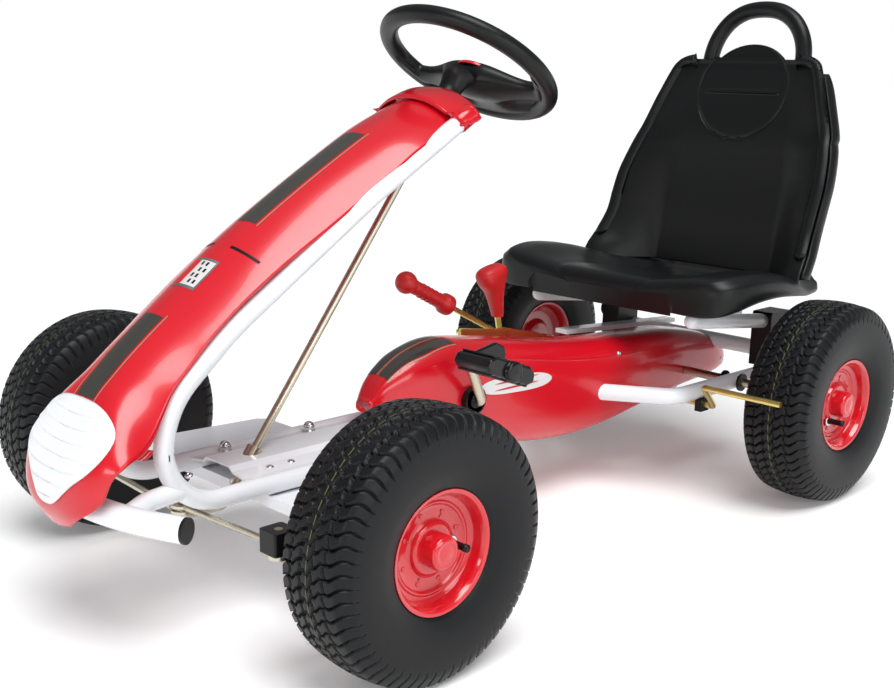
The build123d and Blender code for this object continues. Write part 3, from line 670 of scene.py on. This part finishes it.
# ---- seat ----
# Sections from front to rear: X, Z in the middle, Z of the lobes, lower edge, half width.
PAN = [
    (-586, 262, 266, 244, 118), (-589, 272, 279, 243, 158), (-598, 280, 289, 246, 182),
    (-620, 281, 294, 252, 195), (-660, 277, 296, 260, 201), (-710, 268, 291, 261, 200),
    (-760, 260, 280, 256, 194), (-805, 255, 268, 250, 184), (-850, 256, 266, 248, 172),
    (-866, 262, 270, 248, 164),
]


def pan_height(centre, lobe, t):
    """Top of the pan at the share t of its half width."""
    a = abs(t)
    rise = smooth((a - 0.38) / 0.45)
    fall = smooth((a - 0.90) / 0.10)
    groove = 1.4 * math.exp(-((a - 0.42) / 0.03) ** 2)
    return centre + (lobe - centre) * rise - groove - 10 * fall * fall


def seat_pan():
    rows = []
    for x, centre, lobe, low, half in spline(PAN, 80):
        top = [(x, half * t, pan_height(centre, lobe, t)) for t in np.linspace(-1, 1, 81)]
        lip = pan_height(centre, lobe, 1)
        edge = [(half * (1 + 0.012 * sin(pi * k / 8)), lip - k / 8 * (lip - low)) for k in range(1, 9)]
        right = [(x, y, z) for y, z in edge]
        left = [(x, -y, z) for y, z in edge[::-1]]
        rows.append(left + top + right)
    pan = sheet("pan_skin", rows, BLACK, "seat")
    solidified(pan, PAN_WALL, 1.0)
    skirt = []
    for t in np.linspace(0, 1, 9):
        skirt.append([(x - 4 * t, y * (1 - 0.02 * t), z + (PAN_SKIRT_LOW - z) * t)
                      for x, y, z in rows[0] if z > 243])
    sheet("pan_front_skirt", skirt, BLACK, "seat")
    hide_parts("seat_pan")


# Sections upwards: Z, half width, X in the middle, X at the sides.
BACK = [
    (262, 183, -856, -784), (280, 181.5, -859, -794), (300, 178, -863, -810), (330, 173, -868, -828),
    (360, 172.5, -874, -839), (390, 171.5, -880, -851), (420, 166, -885, -865), (440, 160.5, -888, -874),
    (460, 154.5, -892, -884), (500, 139.5, -902, -894), (540, 123, -911, -906), (550, 116, -914, -910),
    (556, 105, -915, -911), (559, 90, -916, -912),
]


def back_x(mid_x, side_x, t):
    a = abs(t)
    return mid_x + (side_x - mid_x) * smooth((a - 0.52) / 0.46) ** 0.9


def panel_groove(y, z):
    """Depth of the oval groove and its cross line on the front of the seat back."""
    ry, rz, middle_z = OVAL
    d = abs(math.hypot(y / ry, (z - middle_z) / rz) - 1) * 62
    groove = 2.4 * math.exp(-(d / 1.7) ** 2)
    if abs(y) < 62:
        groove = max(groove, 2.2 * math.exp(-((z - 511) / 1.6) ** 2))
    return groove


def seat_back():
    front = []
    for z, half, mid_x, side_x in spline(BACK, 150):
        row = []
        for t in np.linspace(-1, 1, 161):
            y = half * t
            x = back_x(mid_x, side_x, t) - panel_groove(y, z)
            x += 5 * smooth((0.035 - abs(abs(t) - 0.955)) / 0.03) * (300 < z < 560)
            row.append((x, y, z))
        front.append(row)
    skin = sheet("back_skin", front, BLACK, "seat")
    solidified(skin, BACK_WALL, -1.0)
    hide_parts("seat_back")
    ry, rz, middle_z = OVAL
    oval = [(ry * cos(a), middle_z + rz * sin(a)) for a in np.linspace(0, 2 * pi, 60, False)]
    tab = [(y, z) for y, z in oval if z > 540]
    prism("back_tab", tab, -6, 1, lambda y, z, c: (-911.5 + c - (z - 540) * 0.25, y, z), BLACK, "seat",
          1.2)
    hoop = [(-919, -77, 470), (-925, -77, 530), (-932, -74, 575), (-937, -58, 606), (-940, -32, 624),
            (-941, 0, 629), (-940, 32, 624), (-937, 58, 606), (-932, 74, 575), (-925, 77, 530), (-919, 77, 470)]
    tube("back_hoop", spline(hoop, 90), 11.5, BLACK, "seat", segs=28)
    for side in (-1, 1):
        wing = [(side_x + 2, side * (half + 1), z) for z, half, _, side_x in spline(BACK, 60)[2:53]]
        rim = []
        for k, (x, y, z) in enumerate(wing):
            bulge = 5 - 3.5 * smooth((6 - abs(z - BACK_NOTCH_Z)) / 6)
            deep = 19 * min(1.0, (len(wing) - k) / 8) ** 0.5
            rim.append([(x - d, y + side * (bulge * sin(pi * min(1.0, (d + 1) / 22)) ** 0.5 - 3), z)
                        for d in np.linspace(0, deep, 12)])
        flange = sheet(f"back_rim_{side}", rim, BLACK, "seat")
        solidified(flange, 3.0, -side)
        z, half, _, x = BACK[2]
        screw(f"back_screw_{side}_{z}", (x - 7, side * (half + 3.5), z), (0, side, 0), 3.6, "seat")


# ---- steering wheel ----
def wheel_point(u, v, h, turn=0.0):
    """u across to the left, v forwards in the plane of the wheel, h along the column."""
    u, v = u * cos(turn) + v * sin(turn), v * cos(turn) - u * sin(turn)
    base = Vector(COLUMN_TOP)
    w = Matrix.Rotation(WHEEL_TILT, 3, "Y") @ COLUMN_AXIS
    forward = Vector((0, 1, 0)).cross(w).normalized()
    return base + Vector((0, 1, 0)) * u + forward * (v - WHEEL_BACK) + w * h


def steering_wheel():
    ring = []
    for a in np.linspace(0, 2 * pi, 121)[:-1]:
        row = []
        for b in np.linspace(0, 2 * pi, 29)[:-1]:
            grip = 10.3 + 0.4 * cos(2 * b)
            r = RING_R + grip * cos(b)
            row.append(wheel_point(r * cos(a), r * sin(a), RING_H + grip * sin(b)))
        ring.append(row)
    ring_ob = sheet("wheel_ring", ring, BLACK, "steering", wrap_u=True, wrap_v=True)
    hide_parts("steering_wheel")
    rows = []
    for u in np.linspace(-95, 95, 97):
        rim = math.sqrt(98.0 ** 2 - u * u)
        front = min(rim, 2 - 24 * smooth((abs(u) - 12) / 62) + 46 * smooth((abs(u) - 78) / 18) ** 2)
        row, over = [], []
        for t in np.linspace(0, 1, 41):
            v = front + (-rim - front) * t
            side = sin(pi * t) ** 0.3 if 0 < t < 1 else 0.0
            hub = math.exp(-(math.hypot(u, v + 6) / 42) ** 2)
            pocket = math.exp(-((abs(u) - 50) / 27) ** 4 - ((v + 60 - 0.2 * (abs(u) - 50)) / 13) ** 4)
            row.append(wheel_point(u, v, 21 - (7 + 22 * hub) * side + 9 * pocket, WHEEL_CLOCK))
            over.append(wheel_point(u, v, 26 + (3 + 4 * hub) * side, WHEEL_CLOCK))
        rows.append(row + over[::-1][1:-1])
    sheet("wheel_bridge", rows, BLACK, "steering", wrap_v=True, caps=True)
    w = (wheel_point(0, 0, 1) - wheel_point(0, 0, 0)).normalized()
    disc = turned("wheel_badge", rounded_profile([(0, 27), (3, 27), (5.5, 23), (6.2, 14), (6.4, 0.02)], 1.5),
                  wheel_point(0, -22, 24.5, WHEEL_CLOCK), w, RED, "steering")
    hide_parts("wheel_insert")
    boss = [(-32, 12), (-12, 13.5), (-2, 16), (8, 20)]
    turned("wheel_boss", boss, COLUMN_TOP, COLUMN_AXIS, BLACK, "steering")


# ---- controls ----
def brake_grip():
    pivot = Vector((-474, -68, 200))
    d = Vector((172, 0, 88)).normalized()
    profile = [(112, 11.5), (113.5, 13.2), (119, 13.6), (124, 13.2), (127, 11.0), (130, 9.4), (150, 8.6),
               (172, 8.8), (183, 9.2)]
    for a in np.linspace(-58, 88, 16):
        profile.append((196 + 14 * sin(radians(a)), max(0.02, 14 * cos(radians(a)))))
    grip = turned("brake_grip_skin", rounded_profile(profile, 0.6), pivot, d, RED_SATIN, "brake_lever")
    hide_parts("brake_grip")
    for k in range(5):
        at = 134 + 8 * k
        ring = [(at, 8.6), (at + 1, 9.6), (at + 2.4, 9.6), (at + 3.4, 8.6)]
        turned(f"brake_grip_ring_{k}", ring, pivot, d, RED_SATIN, "brake_lever")


def selector_knob():
    base = Vector((-494, -88, 190))
    rows = []
    spine = spline([(7, 30, 7.5, 7.0), (10, 44, 9, 9), (14, 60, 12, 11), (18, 74, 18, 13.5), (20, 84, 22.5, 15),
                    (22, 92, 23, 15), (23, 97, 19, 12), (23, 99.6, 11, 7), (23, 100.4, 2, 1.2)], 48)
    for x, z, rx, ry in spine:
        rows.append([(base.x + x + a, base.y + b, base.z + z - 0.22 * a * smooth((z - 60) / 20))
                     for a, b in ellipse(rx, ry, 40, power=2.6)])
    knob = sheet("selector_knob_skin", rows, RED_SATIN, "selector", wrap_v=True, caps=True)
    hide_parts("selector_knob")


def pedals():
    for tag, side in (("left", 1), ("right", -1)):
        x = CRANK[0] + side * PEDAL_THROW[0]
        y = side * PEDAL_Y
        z = CRANK[1] + side * PEDAL_THROW[1]
        body = "pedal_" + tag
        tilt = Matrix.Rotation(PEDAL_TILT[tag], 3, "Y")
        about = Vector((x, y, z))
        outline = [(-41, -4), (-39, 6), (-30, 10.5), (30, 10.5), (39, 6), (41, -4), (32, -10), (-32, -10)]

        def spot(a, b, c, about=about, tilt=tilt):
            return tilt @ Vector((a, c - about.y, b)) + about

        block = prism(f"pedal_block_{tag}", outline, y - 27, y + 27, spot, BLACK_GLOSS, body,
                      3.0)
        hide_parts("pedal_" + tag)
        for k in range(7):
            a = -31 + k * 10.3
            ridge = [(a - 2.6, 9.8), (a - 1.2, 11.8), (a + 1.2, 11.8), (a + 2.6, 9.8)]
            prism(f"pedal_ridge_{tag}_{k}", ridge, y - 25, y + 25, spot, BLACK_GLOSS, body, 0.6)
            ridge = [(a - 2.0, -9.4), (a - 1.0, -12.0), (a + 1.0, -12.0), (a + 2.0, -9.4)]
            prism(f"pedal_foot_{tag}_{k}", ridge, y - 25, y + 25, spot, BLACK_GLOSS, body, 0.6)
        ear = [(-38, 4), (-40, 18), (-34, 27), (-18, 29), (-4, 21), (12, 12), (24, 8)]
        turned(f"pedal_plug_{tag}", rounded_profile([(-2, 12.5), (3.5, 12.5), (5, 9), (5.2, 0.02)]),
               (x, y + side * 28, z), (0, side, 0), BLACK_GLOSS, body, segs=32)
        edge = sorted((y - side * 28, y - side * 22))
        prism(f"pedal_ear_{tag}", ear, edge[0], edge[1], spot, BLACK_GLOSS, body, 2.0)


def fasteners():
    """Domed nuts and screws on the deck, the axle plate and the bumper's stays."""
    for x in (-10, -126):
        at = (x, -43, DECK_Z)
        turned(f"nut_skirt_{-x}", rounded_profile([(0.2, 7.6), (1.6, 7.6), (2.0, 6.6), (6.0, 6.4)], 0.4),
               at, (0, 0, 1), BRIGHT, "chassis", segs=24)
        dome = [(6.0, 6.2)] + [(6 + 5.6 * sin(t), max(0.02, 6.2 * cos(t))) for t in np.linspace(0.1, pi / 2, 8)]
        nut = turned(f"nut_dome_{-x}", dome, at, (0, 0, 1), BRIGHT, "chassis", segs=28)
    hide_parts("frame_bolts")
    for x in (-12, -40):
        screw(f"deck_screw_{-x}", (x, 34, DECK_Z), (0, 0, 1), 4.6)
    for x in (-40, -110):
        for side in (-1, 1):
            screw(f"plate_screw_{-x}_{side}", (x, side * 104, 121), (0, 0, 1), 4.4)
    for side in (-1, 1):
        screw(f"bumper_screw_{side}", (104, side * 60, 163), (0.3, 0, 1), 4.4)


# ---- paint of the nodes that are shown as they are ----
WHITE_NODES = ["frame_loop_left", "frame_loop_right", "floor_pan", "front_axle_beam", "bumper_bar",
               "side_tube_left", "side_tube_right", "main_beam", "seat_cross_tube", "seat_rails",
               "seat_support_bar"]
ZINC_NODES = ["kingpins", "knuckle_left", "knuckle_right", "tie_rod_left", "tie_rod_right", "steering_column",
              "crankshaft", "rear_axle", "column_bushes"]
YELLOW_NODES = ["lever_bracket", "brake_lever", "selector_lever", "brake_bar"]
DARK_NODES = ["bumper_end_caps", "seat_clamps", "axle_bushes", "crank_bushes", "brake_brackets",
              "rod_end_left", "rod_end_right"]
paint(WHITE_NODES, WHITE)
paint(ZINC_NODES, ZINC)
paint(YELLOW_NODES, YELLOW_ZINC)
paint(DARK_NODES, BLACK)
paint(["front_sprocket", "rear_sprocket", "chain"], STEEL)

fairing_skin = surface_of(fairing())
fairing_stripes(fairing_skin)
emblem(fairing_skin)
cap()
grille(fairing_skin)
guard_skin, guard_stations = guard()
guard_details(guard_skin, guard_stations)
wheels()
seat_pan()
seat_back()
steering_wheel()
brake_grip()
selector_knob()
pedals()
fasteners()


# ---- stage, light and camera ----
def area(name, spot, target, size, power):
    light = bpy.data.lights.new(name, "AREA")
    light.shape = "RECTANGLE"
    light.size, light.size_y = size
    light.energy = power
    ob = bpy.data.objects.new(name, light)
    bpy.context.scene.collection.objects.link(ob)
    ob.location = spot
    ob.rotation_euler = (Vector(target) - Vector(spot)).to_track_quat("-Z", "Y").to_euler()


def stage():
    mesh = bpy.data.meshes.new("floor")
    mesh.from_pydata([(-30, -30, 0), (30, -30, 0), (30, 30, 0), (-30, 30, 0)], [], [(0, 1, 2, 3)])
    floor = bpy.data.objects.new("floor", mesh)
    bpy.context.scene.collection.objects.link(floor)
    mat = material("floor_white", (0.95, 0.95, 0.95), 0.9)
    glow = mat.node_tree.nodes["Principled BSDF"]
    glow.inputs["Emission Color"].default_value = (1, 1, 1, 1)
    glow.inputs["Emission Strength"].default_value = 0.10
    mesh.materials.append(mat)
    world = bpy.data.worlds.new("studio")
    bpy.context.scene.world = world
    world.use_nodes = True
    nodes, links = world.node_tree.nodes, world.node_tree.links
    where = nodes.new("ShaderNodeTexCoord")
    split = nodes.new("ShaderNodeSeparateXYZ")
    ramp = nodes.new("ShaderNodeValToRGB")
    links.new(where.outputs["Generated"], split.inputs["Vector"])
    links.new(split.outputs["Z"], ramp.inputs["Fac"])
    links.new(ramp.outputs["Color"], nodes["Background"].inputs["Color"])
    stops = ramp.color_ramp.elements
    stops[0].position, stops[0].color = 0.0, (1.0, 1.0, 1.0, 1)
    stops[1].position, stops[1].color = 1.0, (0.42, 0.43, 0.45, 1)
    for at, value in ((0.09, 1.0), (0.20, 0.22), (0.55, 0.20)):
        stops.new(at).color = (value, value, value, 1)
    bpy.context.scene.view_settings.view_transform = "Standard"
    sun = bpy.data.lights.new("sun", "SUN")
    sun.energy = 2.5
    sun.angle = radians(38)
    ob = bpy.data.objects.new("sun", sun)
    bpy.context.scene.collection.objects.link(ob)
    ob.rotation_euler = (-Vector((0.25, 0.75, 1.9))).to_track_quat("-Z", "Y").to_euler()
    area("side", (0.4, 2.2, 0.9), (0, 0, 0.3), (1.8, 0.5), 12)
    area("front", (2.4, 0.6, 0.9), (0.1, 0, 0.3), (1.2, 0.4), 9)


def camera():
    yaw, pitch, roll = radians(-132.95), radians(-14.63), radians(0.68)
    forward = Vector((cos(yaw) * cos(pitch), sin(yaw) * cos(pitch), sin(pitch)))
    right = forward.cross(Vector((0, 0, 1))).normalized()
    up = right.cross(forward)
    right, up = right * cos(roll) + up * sin(roll), up * cos(roll) - right * sin(roll)
    data = bpy.data.cameras.new("camera")
    data.sensor_width = 36
    data.lens = 50.61
    data.shift_x = 0.05105
    data.shift_y = 0.0478
    ob = bpy.data.objects.new("camera", data)
    bpy.context.scene.collection.objects.link(ob)
    turn = Matrix((right, up, -forward)).transposed().to_4x4()
    ob.matrix_world = Matrix.Translation(place((738.2, 1040.1, 554.05))) @ turn
    bpy.context.scene.camera = ob


stage()
camera()
